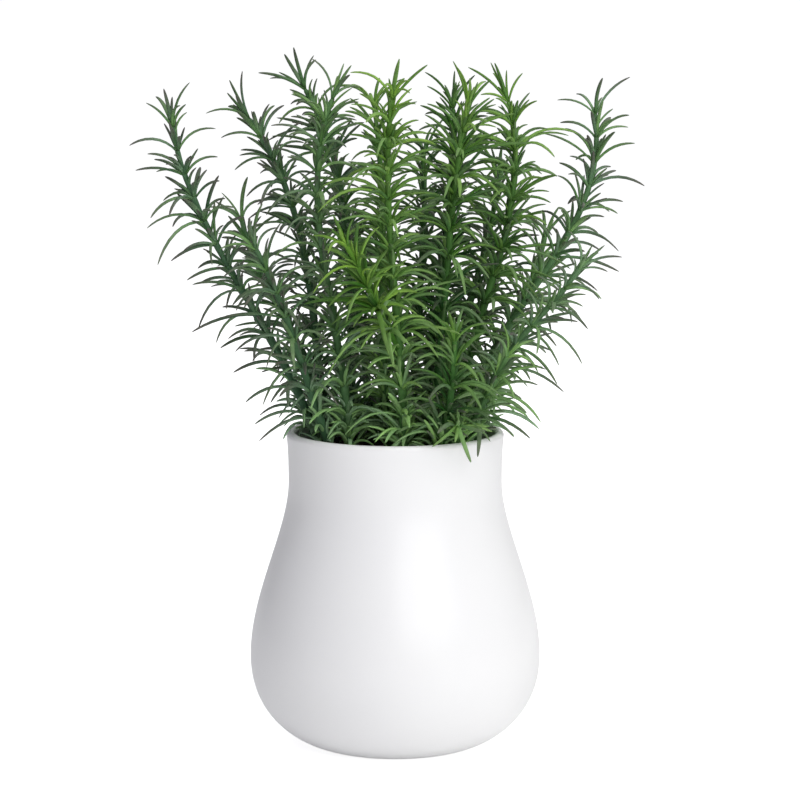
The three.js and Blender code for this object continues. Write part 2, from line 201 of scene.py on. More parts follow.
class Stem:
    """A stem's cubic curve, read by the share of its length."""

    def __init__(self, route, root_radius, tip_radius, buried, fresh, pale, full):
        self.route = np.array(route, float)
        self.ts = np.linspace(0, 1, 201)
        steps = np.linalg.norm(np.diff(self.at_t(self.ts), axis=0), axis=1)
        self.lengths = np.concatenate([[0], np.cumsum(steps)])
        self.length = self.lengths[-1]
        self.steps = max(math.ceil(self.length / STEM_STEP), STEM_FEWEST_STEPS)
        self.root_radius, self.tip_radius = root_radius, tip_radius
        self.buried, self.fresh, self.pale, self.full = buried, fresh, pale, full

    def at_t(self, t):
        t = np.asarray(t, float)[..., None]
        a, b, c, d = self.route
        u = 1 - t
        return u**3 * a + 3 * u * u * t * b + 3 * u * t * t * c + t**3 * d

    def t_of(self, share):
        return np.interp(share * self.length, self.lengths, self.ts)

    def at(self, share):
        return self.at_t(self.t_of(share))

    def along(self, share):
        t = self.t_of(share)
        return unit(self.at_t(min(t + 1e-4, 1)) - self.at_t(max(t - 1e-4, 0)))

    def radius(self, share):
        return blend(self.root_radius, self.tip_radius, share)

    def whorls(self):
        """The whorls' distances up the stem, counted down from its tip."""
        places = []
        lowest = FIRST_WHORL if self.buried else WHORL_STEP_HIGH / 2
        at = self.length - TIP_WHORL
        while at > lowest:
            places.insert(0, at)
            at -= blend(WHORL_STEP_LOW, WHORL_STEP_HIGH, at / self.length)
        return places


def stem_sides(along):
    u = unit(np.array([1.0, 0, 0]) - along * along[0])
    return u, np.cross(along, u)


# ---- Clearance between sprigs ----

class Occupied:
    """Points that stand for what is already placed."""

    def __init__(self):
        self.cells = {}

    def add(self, point, radius, owner):
        key = tuple(math.floor(v / CELL) for v in point)
        self.cells.setdefault(key, []).append((point, radius, owner))

    def is_free(self, point, radius, owner):
        x, y, z = (math.floor(v / CELL) for v in point)
        for i in (-1, 0, 1):
            for j in (-1, 0, 1):
                for k in (-1, 0, 1):
                    for other, its_radius, its_owner in self.cells.get((x + i, y + j, z + k), ()):
                        if its_owner == owner:
                            continue
                        reach = math.hypot(radius + its_radius + CLEARANCE, SAMPLE_STEP / 2)
                        if math.dist(point, other) < reach:
                            return False
        return True


def samples_along(points, radii):
    found = []
    for i in range(len(points) - 1):
        start, end = points[i], points[i + 1]
        count = math.ceil(math.dist(start, end) / SAMPLE_STEP)
        for k in range(1, count + 1):
            share = k / count
            found.append((tuple(blend(start, end, share)), blend(radii[i], radii[i + 1], share)))
    return found


def clears_pot(point, radius):
    margin = radius + 2 * CLEARANCE
    out = math.hypot(point[0], point[1])
    if out > RIM_RADIUS + margin or point[2] > POT_HEIGHT + margin:
        return True
    return out < RIM_RADIUS - WALL - margin and point[2] > SOIL_Z + SOIL_LUMP + margin


# ---- Leaves ----

BENDS = [
    (0, 0, 1), (0.25, 0, 1), (-0.25, 0, 1), (0, -0.3, 1), (0, 0.3, 1), (0.45, -0.15, 1),
    (-0.45, -0.15, 1), (0.25, -0.5, 0.9), (-0.25, -0.5, 0.9), (0, 0.5, 0.85), (0, -0.7, 0.8),
]


def leaf_point(leaf, t):
    """Points on a leaf's midline at shares t of its length."""
    t = np.asarray(t, float)[..., None]
    turn = leaf["close"] - leaf["open"]
    angle = leaf["open"] + turn * t
    forward = leaf["length"] * (np.sin(angle) - math.sin(leaf["open"])) / turn
    outward = leaf["length"] * (math.cos(leaf["open"]) - np.cos(angle)) / turn
    point = leaf["root"] + forward * leaf["along"] + outward * leaf["out"]
    point[..., 2] -= leaf["droop"] * t[..., 0] ** 2
    return point


def make_leaf(stem, sprig, whorl, at, index, bend, extra=None):
    """A leaf's curve. A bend turns, curls and shortens it, and extra is a row of an added list."""
    share = at / stem.length
    values = [draw(sprig, whorl, index, channel) for channel in range(9)]
    along = stem.along(share)
    u, v = stem_sides(along)
    phase = whorl * (math.pi / LEAVES_PER_WHORL) + 2 * math.pi * draw(sprig, 1, 1, 1)
    facing = phase + 2 * math.pi * index / LEAVES_PER_WHORL
    facing = facing + around(0, LEAF_FACING_SPREAD, values[2]) + bend[0]
    young = max(0, 1 - (stem.length - at) / TUFT_REACH)
    scale = blend(1, TUFT_SCALE, young)
    length = blend(LEAF_LENGTH_LOW, LEAF_LENGTH_HIGH, share)
    length = length * around(1, LEAF_LENGTH_SPREAD, values[3]) * scale
    opening = blend(LEAF_OPEN, TUFT_OPEN, young) + around(0, LEAF_OPEN_SPREAD, values[4])
    closing = blend(LEAF_CLOSE, TUFT_CLOSE, young)
    closing = closing + around(0, LEAF_CLOSE_SPREAD, values[5]) + bend[1]
    if extra:
        turn, size, opens, closes = extra
        facing += 2 * math.pi * turn / LEAVES_PER_WHORL
        length *= size
        opening = max(opening + opens, LEAF_OPEN_LEAST)
        closing += closes
        scale *= blend(SMALLEST_SCALE, 1, min(size, 1))
    closing = max(closing, opening + LEAF_LEAST_TURN)
    droop = blend(blend(LEAF_DROOP_LOW, LEAF_DROOP_HIGH, share), TUFT_DROOP, young)
    droop *= around(1, DROOP_SPREAD, values[8])
    out = math.cos(facing) * u + math.sin(facing) * v
    corner = blend(stem.root_radius, stem.tip_radius, share)
    axis = stem.at(share)
    return {
        "start": axis + LEAF_START * corner * out,
        "root": axis + LEAF_ROOT * corner * out,
        "along": along, "out": out, "scale": scale, "corner": corner,
        "open": opening, "close": closing, "length": length * bend[2],
        "droop": droop * (min(extra[1], 1) ** 2 if extra else 1),
        "share": share, "young": young, "values": values,
    }


def place_leaf(stem, sprig, whorl, at, index, occupied, extra=None):
    """The leaf's first bend that keeps it clear. An extra leaf only keeps clear of other stems."""
    for bend in BENDS:
        leaf = make_leaf(stem, sprig, whorl, at, index, bend, extra)
        points = [leaf["start"], leaf_point(leaf, LEAF_WIDEST), leaf_point(leaf, 1)]
        samples = samples_along(points, [0, SOLID_WIDTH * leaf["scale"] / 2, 0])
        if all(clears_pot(p, r) and occupied.is_free(p, r, sprig) for p, r in samples):
            if not extra:
                for p, r in samples:
                    occupied.add(p, r, sprig)
            return leaf
    return None


# ---- Mesh building ----

class Mesh:
    """Gathers rings of vertices with a colour each, then makes one Blender object of them."""

    def __init__(self):
        self.points, self.faces, self.colours, self.count = [], [], [], 0

    def tube(self, rings, colours):
        """A closed skin through rings of alike size, with a fan at each end."""
        rows, sides = rings.shape[:2]
        first = self.count
        self.points += [rings.reshape(-1, 3), rings[0].mean(0)[None], rings[-1].mean(0)[None]]
        ends = [colours[0].mean(0)[None], colours[-1].mean(0)[None]]
        self.colours += [colours.reshape(-1, 4), *ends]
        i = np.arange(sides)
        j = (i + 1) % sides
        for r in range(rows - 1):
            a, b = first + r * sides, first + (r + 1) * sides
            self.faces += np.stack([a + i, a + j, b + j, b + i], 1).tolist()
        low, high = first + rows * sides, first + rows * sides + 1
        last = first + (rows - 1) * sides
        self.faces += np.stack([np.full(sides, low), first + j, first + i], 1).tolist()
        self.faces += np.stack([last + i, last + j, np.full(sides, high)], 1).tolist()
        self.count += rows * sides + 2

    def make(self, name, material):
        mesh = bpy.data.meshes.new(name)
        points = np.concatenate(self.points) * MM
        mesh.from_pydata(points.tolist(), [], self.faces)
        layer = mesh.attributes.new("leaf", "FLOAT_COLOR", "POINT")
        layer.data.foreach_set("color", np.concatenate(self.colours).astype(np.float32).ravel())
        mesh.polygons.foreach_set("use_smooth", [True] * len(mesh.polygons))
        mesh.materials.append(material)
        piece = bpy.data.objects.new(name, mesh)
        bpy.context.scene.collection.objects.link(piece)
        return piece


LEAF_STATIONS = np.array([0, 0.12, 0.26, 0.4, 0.54, 0.68, 0.81, 0.91, 0.97, 1])
LEAF_SHAPE = np.array([0.76, 0.84, 0.94, 1, 1, 0.94, 0.81, 0.62, 0.4, 0.14])
# A leaf's section: across and up, in half-widths. Its upper face has a groove along the midrib.
LEAF_SECTION = np.array([
    (-1, 0), (-0.62, 0.46), (0, 0.24), (0.62, 0.46),
    (1, 0), (0.6, -0.52), (0, -0.74), (-0.6, -0.52),
])
FINE_WIDTH_LOW = 2.05
FINE_WIDTH_HIGH = 1.8
FINE_WIDTH_SPREAD = 0.16
FINE_START = 0.5  # a fine leaf starts this many stem radii along its curve
BOW_SPREAD = 1.6  # sideways bow of a leaf's tip
TWIST_SPREAD = 0.7


def add_leaf(mesh, leaf, fresh, pale):
    """A fine leaf on its curve. Its colours say how far along and across, how fresh, how pale, with
    painted light and shade in the paleness.
    """
    side = np.cross(leaf["along"], leaf["out"])
    start = FINE_START * leaf["corner"] / leaf["length"]
    t = start + (1 - start) * LEAF_STATIONS
    centres = leaf_point(leaf, t)
    bow = around(0, BOW_SPREAD, leaf["values"][1]) * LEAF_STATIONS**2
    centres = centres + bow[:, None] * side
    tangents = np.gradient(centres, axis=0)
    tangents /= np.linalg.norm(tangents, axis=1)[:, None]
    normals = np.cross(tangents, side)
    width = blend(FINE_WIDTH_LOW, FINE_WIDTH_HIGH, leaf["share"]) / 2
    width *= leaf["scale"] * around(1, FINE_WIDTH_SPREAD, leaf["values"][6])
    twist = around(0, TWIST_SPREAD, leaf["values"][7]) * LEAF_STATIONS
    across = np.cos(twist)[:, None] * side + np.sin(twist)[:, None] * normals
    up = np.cos(twist)[:, None] * normals - np.sin(twist)[:, None] * side
    half = (width * LEAF_SHAPE)[:, None, None]
    rings = (centres[:, None] + half * LEAF_SECTION[None, :, :1] * across[:, None]
             + half * LEAF_SECTION[None, :, 1:] * up[:, None])
    colours = np.zeros((len(t), len(LEAF_SECTION), 4))
    colours[..., 0] = LEAF_STATIONS[:, None]
    colours[..., 1] = np.abs(LEAF_SECTION[:, 0])[None]
    colours[..., 2] = fresh
    colours[..., 3] = pale
    mesh.tube(rings, colours)


STEM_SIDES = 10
STEM_RING_STEP = 3
STEM_FEWEST_RINGS = 8
STEM_CLOSEST_RINGS = 0.25
STEM_FOOT_DEPTHS = (20, 4)
STEM_FOOT = 0.85  # radii of the buried foot, and of the stem low and high, beside the solid's
STEM_THIN_LOW = 0.86
STEM_THIN_HIGH = 0.78
STEM_POINT_FROM = 0.985
STEM_POINT = 0.55
STEM_POINT_REACH = 1.2
SWELL = 0.22
SWELL_BELOW = 5.5
SWELL_ABOVE = 1.6
SWELL_RINGS = (-5, -2.4, -0.8, 0.6, 1.6)
# How pale a stem is at its root and at its tip, beside its leaves. The darker root is painted
# shade, where the low stems stand in the shade of the leaves.
STEM_PALE = (0.25, 0.6)


def add_stem(mesh, stem, whorls):
    """A round stem that swells a little under each whorl, with its buried foot."""
    count = max(int(stem.length / STEM_RING_STEP), STEM_FEWEST_RINGS)
    shares = set(np.linspace(0, 1, count))
    for at in whorls:
        shares |= {min(max((at + d) / stem.length, 0), 1) for d in SWELL_RINGS}
    shares = np.array(sorted(shares))
    apart = np.diff(shares) > STEM_CLOSEST_RINGS / stem.length
    shares = shares[np.concatenate([[True], apart])]
    rings, tints = [], []
    angle = 2 * math.pi * np.arange(STEM_SIDES) / STEM_SIDES
    if stem.buried:
        foot = stem.at(0)
        for depth in STEM_FOOT_DEPTHS:
            ring = np.stack([np.cos(angle), np.sin(angle), 0 * angle], 1)
            rings.append(foot - [0, 0, depth] + ring * stem.radius(0) * STEM_FOOT)
            tints.append((0, 1))
    for share in shares:
        centre, along = stem.at(share), stem.along(share)
        u, v = stem_sides(along)
        at = share * stem.length
        radius = blend(STEM_THIN_LOW, STEM_THIN_HIGH, share) * stem.radius(share)
        swell = 0
        for whorl in whorls:
            gap = whorl - at
            if -SWELL_ABOVE < gap < SWELL_BELOW:
                near = 1 - gap / SWELL_BELOW if gap > 0 else 1 + gap / SWELL_ABOVE
                swell = max(swell, near)
        radius *= 1 + SWELL * swell
        if share > STEM_POINT_FROM:
            radius *= STEM_POINT
        rings.append(centre + radius * (np.cos(angle)[:, None] * u + np.sin(angle)[:, None] * v))
        tints.append((share, swell))
    end = stem.at(1) + STEM_POINT_REACH * stem.along(1)
    rings.append(end + 0.1 * (rings[-1] - rings[-1].mean(0)))
    tints.append((1, 0))
    rings = np.array(rings)
    colours = np.zeros((*rings.shape[:2], 4))
    colours[..., 0] = -1
    colours[..., 1] = np.array([tint[1] for tint in tints])[:, None]
    share = np.array([tint[0] for tint in tints])
    colours[..., 2] = blend(*stem.fresh, share)[:, None]
    # The stem's paleness, darker towards the root as painted shade.
    colours[..., 3] = (blend(*STEM_PALE, share) * blend(*stem.pale, share))[:, None]
    mesh.tube(rings, colours)


# ---- Materials ----

class Nodes:
    """A short way to write a material's nodes."""

    def __init__(self, name):
        self.material = bpy.data.materials.new(name)
        self.material.use_nodes = True
        self.tree = self.material.node_tree
        self.shader = self.tree.nodes["Principled BSDF"]

    def add(self, kind, inputs=None, **settings):
        node = self.tree.nodes.new(kind)
        for key, value in settings.items():
            setattr(node, key, value)
        for key, value in (inputs or {}).items():
            self.set(node.inputs[key], value)
        return node

    def set(self, socket, value):
        if isinstance(value, bpy.types.NodeSocket):
            self.tree.links.new(value, socket)
        else:
            socket.default_value = value

    def place(self):
        return self.add("ShaderNodeTexCoord").outputs["Object"]

    def noise(self, scale, detail, vector):
        inputs = {"Scale": scale, "Detail": detail, "Vector": vector}
        return self.add("ShaderNodeTexNoise", inputs).outputs["Fac"]

    def ramp(self, value, low, high, to_low=0.0, to_high=1.0):
        node = self.add("ShaderNodeMapRange", {
            "Value": value, "From Min": low, "From Max": high, "To Min": to_low, "To Max": to_high,
        })
        return node.outputs["Result"]

    def mix(self, share, a, b, mode="MIX"):
        """A mix of two colours, which goes on past the second for a share above 1."""
        node = self.add("ShaderNodeMix", data_type="RGBA", blend_type=mode, clamp_factor=False)
        self.set(node.inputs[0], share)
        self.set(node.inputs[6], a)
        self.set(node.inputs[7], b)
        return node.outputs[2]

    def math(self, operation, a, b):
        node = self.add("ShaderNodeMath", operation=operation)
        self.set(node.inputs[0], a)
        self.set(node.inputs[1], b)
        return node.outputs[0]

    def bump(self, height, strength, distance):
        inputs = {"Height": height, "Strength": strength, "Distance": distance}
        self.set(self.shader.inputs["Normal"], self.add("ShaderNodeBump", inputs).outputs["Normal"])

    def finish(self, **values):
        """Sets the shader's sockets, with _ for each space in a socket's name."""
        for key, value in values.items():
            self.set(self.shader.inputs[key.replace("_", " ")], value)
        return self.material


def glaze_material():
    n = Nodes("white_glaze")
    place = n.place()
    pooling = n.noise(14, 2, place)
    colour = n.mix(n.ramp(pooling, 0.3, 0.7), (0.855, 0.855, 0.862, 1), (0.875, 0.874, 0.873, 1))
    ripple = n.math("ADD", n.math("MULTIPLY", n.noise(700, 2, place), 0.04), n.noise(45, 1, place))
    n.bump(ripple, 0.05, 0.0006)
    roughness = n.ramp(n.noise(110, 2, place), 0.2, 0.8, 0.285, 0.32)
    return n.finish(Base_Color=colour, Roughness=roughness, IOR=1.5)


def bisque_material():
    n = Nodes("bare_foot")
    place = n.place()
    grain = n.noise(1400, 3, place)
    colour = n.mix(n.ramp(grain, 0.35, 0.65), (0.62, 0.58, 0.52, 1), (0.72, 0.68, 0.62, 1))
    n.bump(grain, 0.5, 0.0003)
    return n.finish(Base_Color=colour, Roughness=n.ramp(grain, 0.3, 0.7, 0.75, 0.95))


def soil_material():
    n = Nodes("potting_soil")
    place = n.place()
    crumbs = n.noise(500, 6, place)
    patches = n.noise(90, 3, place)
    base = n.mix(n.ramp(patches, 0.35, 0.65), (0.016, 0.010, 0.007, 1), (0.05, 0.031, 0.019, 1))
    colour = n.mix(n.ramp(crumbs, 0.58, 0.75), base, (0.13, 0.09, 0.055, 1))
    n.bump(crumbs, 0.9, 0.0012)
    return n.finish(Base_Color=colour, Roughness=n.ramp(crumbs, 0.3, 0.7, 0.85, 1.0))


def leaf_material():
    n = Nodes("needle_leaf")
    place = n.place()
    data = n.add("ShaderNodeAttribute", attribute_name="leaf")
    parts = n.add("ShaderNodeSeparateColor", {"Color": data.outputs["Color"]})
    along, across, fresh = parts.outputs[0], parts.outputs[1], parts.outputs[2]
    # The alpha holds the leaf's own paleness, with painted light near the soil and painted shade or
    # light on some sprigs.
    pale = data.outputs["Alpha"]
    blue_green = n.mix(pale, (0.022, 0.082, 0.034, 1), (0.220, 0.350, 0.210, 1))
    middle = n.mix(pale, (0.024, 0.108, 0.017, 1), (0.255, 0.460, 0.150, 1))
    yellow_green = n.mix(pale, (0.062, 0.185, 0.011, 1), (0.330, 0.565, 0.080, 1))
    colour = n.mix(n.ramp(fresh, 0.1, 0.5), blue_green, middle)
    colour = n.mix(n.ramp(fresh, 0.5, 1.0), colour, yellow_green)
    # A paler midrib and root, and a grey-brown tip, which the palest leaves near the soil, paled by
    # painted light, lack.
    on_leaf = n.ramp(along, -0.1, 0.0)
    rib = n.math("MULTIPLY", n.ramp(across, 0.0, 0.35, 0.22, 0.0), on_leaf)
    colour = n.mix(rib, colour, (0.20, 0.36, 0.13, 1))
    root = n.math("MULTIPLY", n.ramp(along, 0.0, 0.25, 0.4, 0.0), on_leaf)
    colour = n.mix(root, colour, (0.11, 0.26, 0.05, 1))
    tip = n.math("MULTIPLY", n.ramp(along, 0.3, 0.92, 0.0, 0.9), n.ramp(fresh, 0.15, 0.6, 1.0, 0.3))
    tip = n.math("MULTIPLY", tip, n.ramp(pale, 0.95, 1.2, 1.0, 0.1))
    colour = n.mix(tip, colour, (0.118, 0.104, 0.092, 1))
    mottle = n.noise(260, 4, place)
    shade = n.mix(n.ramp(mottle, 0.35, 0.65), (0.45, 0.55, 0.5, 1), (1, 1, 1, 1))
    colour = n.mix(0.5, colour, shade, "MULTIPLY")
    n.bump(n.noise(900, 3, place), 0.25, 0.0004)
    return n.finish(
        Base_Color=colour, Roughness=n.ramp(mottle, 0.3, 0.7, 0.40, 0.55), IOR=1.45,
        Specular_IOR_Level=0.14,
    )


# ---- Pieces ----

def bezier(a, b, c, d, count):
    t = np.linspace(0, 1, count + 1)[:, None]
    u = 1 - t
    a, b, c, d = (np.array(p, float) for p in (a, b, c, d))
    return u**3 * a + 3 * u * u * t * b + 3 * u * t * t * c + t**3 * d


def pot_outline():
    """The pot's outer side from its base to its rim, as radius and height."""
    lower = bezier((BASE_RADIUS, 0), (BASE_RADIUS + BASE_PULL, 0),
                   (BELLY_RADIUS, BELLY_Z - BELLY_PULL_DOWN), (BELLY_RADIUS, BELLY_Z),
                   LOWER_STEPS)
    upper = bezier((BELLY_RADIUS, BELLY_Z), (BELLY_RADIUS, BELLY_Z + BELLY_PULL_UP),
                   (NECK_RADIUS, NECK_Z - NECK_PULL), (NECK_RADIUS, NECK_Z), UPPER_STEPS)
    bend = (NECK_RADIUS, blend(NECK_Z, POT_HEIGHT, NECK_BEND))
    end = (RIM_RADIUS, POT_HEIGHT - WALL / 2)
    start = (NECK_RADIUS, NECK_Z)
    # The neck is a quadratic curve, raised to a cubic one.
    pull = 2 / 3
    neck = bezier(start, [blend(s, m, pull) for s, m in zip(start, bend)],
                  [blend(e, m, pull) for e, m in zip(end, bend)], end, NECK_STEPS)
    return np.concatenate([lower, upper[1:], neck[1:]])


def inset(outline, distance):
    """The outline moved inwards, above the height that it was moved by."""
    along = np.gradient(outline, axis=0)
    along /= np.linalg.norm(along, axis=1)[:, None]
    moved = outline + distance * np.stack([-along[:, 1], along[:, 0]], 1)
    return moved[moved[:, 1] > distance]


def lathe(name, profile, sides, materials, slot_of=None):
    """A turned piece whose profile starts and ends on the axis."""
    angle = 2 * math.pi * np.arange(sides) / sides
    rings = np.stack([
        profile[1:-1, 0, None] * np.cos(angle), profile[1:-1, 0, None] * np.sin(angle),
        np.repeat(profile[1:-1, 1, None], sides, 1),
    ], -1)
    rows = len(rings)
    points = np.concatenate([rings.reshape(-1, 3), [[0, 0, profile[0, 1]], [0, 0, profile[-1, 1]]]])
    faces = []
    for r in range(rows - 1):
        for i in range(sides):
            j = (i + 1) % sides
            faces.append((r * sides + i, r * sides + j, (r + 1) * sides + j, (r + 1) * sides + i))
    low, high = rows * sides, rows * sides + 1
    for i in range(sides):
        j = (i + 1) % sides
        faces.append((low, j, i))
        faces.append((high, (rows - 1) * sides + i, (rows - 1) * sides + j))
    mesh = bpy.data.meshes.new(name)
    mesh.from_pydata((points * MM).tolist(), [], faces)
    mesh.polygons.foreach_set("use_smooth", [True] * len(mesh.polygons))
    for material in materials:
        mesh.materials.append(material)
    if slot_of:
        for polygon in mesh.polygons:
            polygon.material_index = slot_of(polygon)
    piece = bpy.data.objects.new(name, mesh)
    bpy.context.scene.collection.objects.link(piece)
    return piece


def make_pot():
    outline = pot_outline()
    inner = inset(outline, WALL)[::-1]
    turn = np.linspace(0, math.pi, LIP_STEPS + 1)[1:-1, None]
    lip = np.concatenate([
        RIM_RADIUS - WALL / 2 * (1 - np.cos(turn)),
        POT_HEIGHT - WALL / 2 + WALL / 2 * np.sin(turn),
    ], 1)
    inner[inner[:, 1] > POT_HEIGHT - WALL / 2, 1] = POT_HEIGHT - WALL / 2
    profile = np.concatenate([
        [(0, 0), (BASE_RADIUS - FOOT_RING, 0)], outline, lip, inner,
        [(BASE_RADIUS, WALL), (0, WALL)],
    ])
    foot = (BASE_RADIUS - BARE_INSET) * MM

    def slot_of(polygon):
        centre = polygon.center
        on_floor = centre.z < FLOOR_REACH * MM
        return 1 if on_floor and math.hypot(centre.x, centre.y) < foot else 0

    pot = lathe("glazed_pot", profile, POT_SIDES, [glaze_material(), bisque_material()], slot_of)
    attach(pot, "root")
    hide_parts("pot")


def make_soil():
    """Soil with a crumbly top, as a turned body whose top is pushed up and down."""
    outline = pot_outline()
    wall = inset(outline, WALL + SOIL_GAP)
    wall = wall[wall[:, 1] < SOIL_Z - 1.5][::3]
    edge = wall[-1, 0]
    level = SOIL_Z - SOIL_SINK
    top = np.array([(edge * s, level) for s in np.linspace(0.995, 0.02, SOIL_RINGS)])
    profile = np.concatenate([[(0, WALL + SOIL_GAP), (BASE_RADIUS, WALL + SOIL_GAP)], wall, top,
                              [(0, level)]])
    soil = lathe("potting_soil", profile, SOIL_SIDES, [soil_material()])
    rng = np.random.default_rng(11)
    # A wave's rate, angle and shift. A fourth draw isn't used, and keeps the draws in order.
    waves = [(rng.uniform(0.3, 1.6), *(rng.uniform(0, 6.28) for _ in range(3)))
             for _ in range(SOIL_WAVES)]
    for vertex in soil.data.vertices:
        x, y, z = vertex.co / MM
        if z < level - 0.05:
            continue
        lump = 0
        for rate, angle, shift, _ in waves:
            lump += math.sin(rate * (x * math.cos(angle) + y * math.sin(angle)) + shift)
        fade = min(1, max(0, (edge - math.hypot(x, y)) / SOIL_FADE))
        vertex.co.z += MM * fade * max(SOIL_LOWEST, min(SOIL_HIGHEST, SOIL_WAVE_HEIGHT * lump))
    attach(soil, "root")
    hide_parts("soil")


# Leaves that the scene adds to each whorl: how far round from a solid leaf, as a share of the step
# from one to the next, then their size, and how much further they open at the root and at the tip.
EXTRAS = [
    (0.5, 0.95, 0.0, -0.1), (0.5, 0.62, -0.25, -0.5), (0.5, 0.9, -0.1, -0.25),
    (0.5, 0.6, -0.3, -0.6), (0.25, 0.45, -0.3, -0.6), (0.75, 0.5, -0.35, -0.7),
    (0.3, 0.8, 0.1, 0.1), (0.6, 0.75, -0.2, -0.3),
]
EXTRAS_KEPT = 0.95
# Upright leaves that dress every stem.
UPRIGHT = [
    (0.2, 0.75, -0.45, -1.0), (0.8, 0.7, -0.5, -1.1), (0.35, 0.65, -0.45, -1.0),
    (0.65, 0.8, -0.4, -0.9),
]
UPRIGHT_KEPT = 0.85
# Leaves that only the fullest stems add.
DENSE = [
    (0.12, 1.2, 0.1, -0.05), (0.38, 1.25, 0.15, 0.0), (0.63, 1.15, 0.05, -0.1),
    (0.88, 1.25, 0.1, -0.05), (0.27, 1.3, 0.2, -0.1), (0.74, 1.3, 0.15, -0.05),
]
DENSE_FROM = 0.9  # from this fullness up, at this rate
DENSE_RATE = 3
# Leaves between two whorls.
BETWEEN = [(0.1, 0.7, -0.1, -0.3), (0.45, 0.55, -0.15, -0.4), (0.8, 0.6, -0.2, -0.5)]
BETWEEN_KEPT = 0.75
# Leaves round a stem's foot.
FOOT = [
    (0, 1.0, -0.25, -0.4), (0, 0.8, -0.4, -0.7), (0, 1.1, -0.2, -0.1), (0, 0.9, -0.3, -0.5),
    (0.5, 0.75, -0.45, -0.8), (0.5, 1.05, -0.2, -0.3), (0.5, 0.85, -0.35, -0.5),
    (0.5, 0.6, 0, -0.1),
]
FOOT_HEIGHTS = (1, 3, 5.5, 8, 10.5)
FOOT_KEPT = 0.85
FOOT_FULL = 0.35  # a foot is fuller than its stem by this much
# At a stem's tip this share of the added leaves is kept, and more of them further down, up to all.
TUFT_FULL = 0.25
TUFT_THIN = 24
# Painted light: leaves near the soil are made paler where the leaves above shade them, by this much
# at the soil, up to this share of the stem.
FOOT_PAINTED_LIGHT = 0.95
FOOT_SHARE = 0.33
PALE_MOST = 1.35
# Numbers that keep the draws of one kind of whorl apart from those of the others.
BRANCH_WHORLS = 100
BETWEEN_WHORLS = 30
FOOT_WHORLS = 60
DENSE_WHORLS = 70
UPRIGHT_WHORLS = 200
KEPT_CHANNEL = 90
STEM_CORE = 0.8  # added leaves keep clear of this share of another sprig's stem
# How far the single leaves differ from their stem's look.
FRESH_SPREAD = 0.2
PALE_SPREAD = 0.4
TUFT_FRESH = 0.1


def extra_places(stem, branch):
    """Where the scene adds leaves: a whorl's number and place, its list and the share kept."""
    whorls = stem.whorls()
    first = BRANCH_WHORLS * branch
    thin = [min(1, TUFT_FULL + (stem.length - at) / TUFT_THIN) for at in whorls]
    full = [blend(*stem.full, at / stem.length) * part for at, part in zip(whorls, thin)]
    rows = list(zip(range(first, first + len(whorls)), whorls, thin, full))
    places = [(whorl, at, EXTRAS, EXTRAS_KEPT * much) for whorl, at, _, much in rows]
    places += [(whorl + UPRIGHT_WHORLS, at, UPRIGHT, UPRIGHT_KEPT * part)
               for whorl, at, part, _ in rows]
    places += [(whorl + DENSE_WHORLS, at, DENSE, DENSE_RATE * (much - DENSE_FROM))
               for whorl, at, _, much in rows]
    places += [(whorl + BETWEEN_WHORLS, (at + above) / 2, BETWEEN, BETWEEN_KEPT * much)
               for (whorl, at, _, much), above in zip(rows, whorls[1:])]
    if stem.buried:
        most = min(1, FOOT_FULL + stem.full[0])
        for i, at in enumerate(FOOT_HEIGHTS):
            kept = FOOT_KEPT * blend(most, stem.full[0], i / len(FOOT_HEIGHTS))
            places.append((FOOT_WHORLS + i, at, FOOT, kept))
    return places


def extra_leaves(stem, number, branch, occupied):
    """The leaves that the scene adds to a stem's own."""
    found = []
    for whorl, at, extras, kept in extra_places(stem, branch):
        for k, extra in enumerate(extras):
            if draw(number, whorl, k, KEPT_CHANNEL) > kept:
                continue
            # The index faces as the solid leaf k does, and has draws of its own.
            index = k % LEAVES_PER_WHORL + 10 * (1 + k // LEAVES_PER_WHORL) * LEAVES_PER_WHORL
            leaf = place_leaf(stem, number, whorl, at, index, occupied, extra)
            if leaf:
                found.append((stem, leaf))
    return found


def make_stems(stems_only, occupied):
    """Each sprig's name, number and stems. The stems also go into both grids of what is placed."""
    sprigs = []
    for number, (name, (route, *looks)) in enumerate(SPRIGS.items(), 1):
        stems = [Stem(route, STEM_CORNER_ROOT, STEM_CORNER_TIP, True, *looks)]
        if name in SHOOTS:
            start, rest, *looks = SHOOTS[name]
            route = [tuple(stems[0].at(start)), *rest]
            stems.append(Stem(route, STEM_CORNER_TIP * SHOOT_ROOT, STEM_CORNER_TIP, False, *looks))
        sprigs.append((name, number, stems))
        for stem in stems:
            shares = [i / stem.steps for i in range(stem.steps + 1)]
            points = [stem.at(share) for share in shares]
            for point, radius in samples_along(points, [stem.radius(share) for share in shares]):
                occupied.add(point, radius, number)
                stems_only.add(point, STEM_CORE * radius - CLEARANCE, number)
    return sprigs


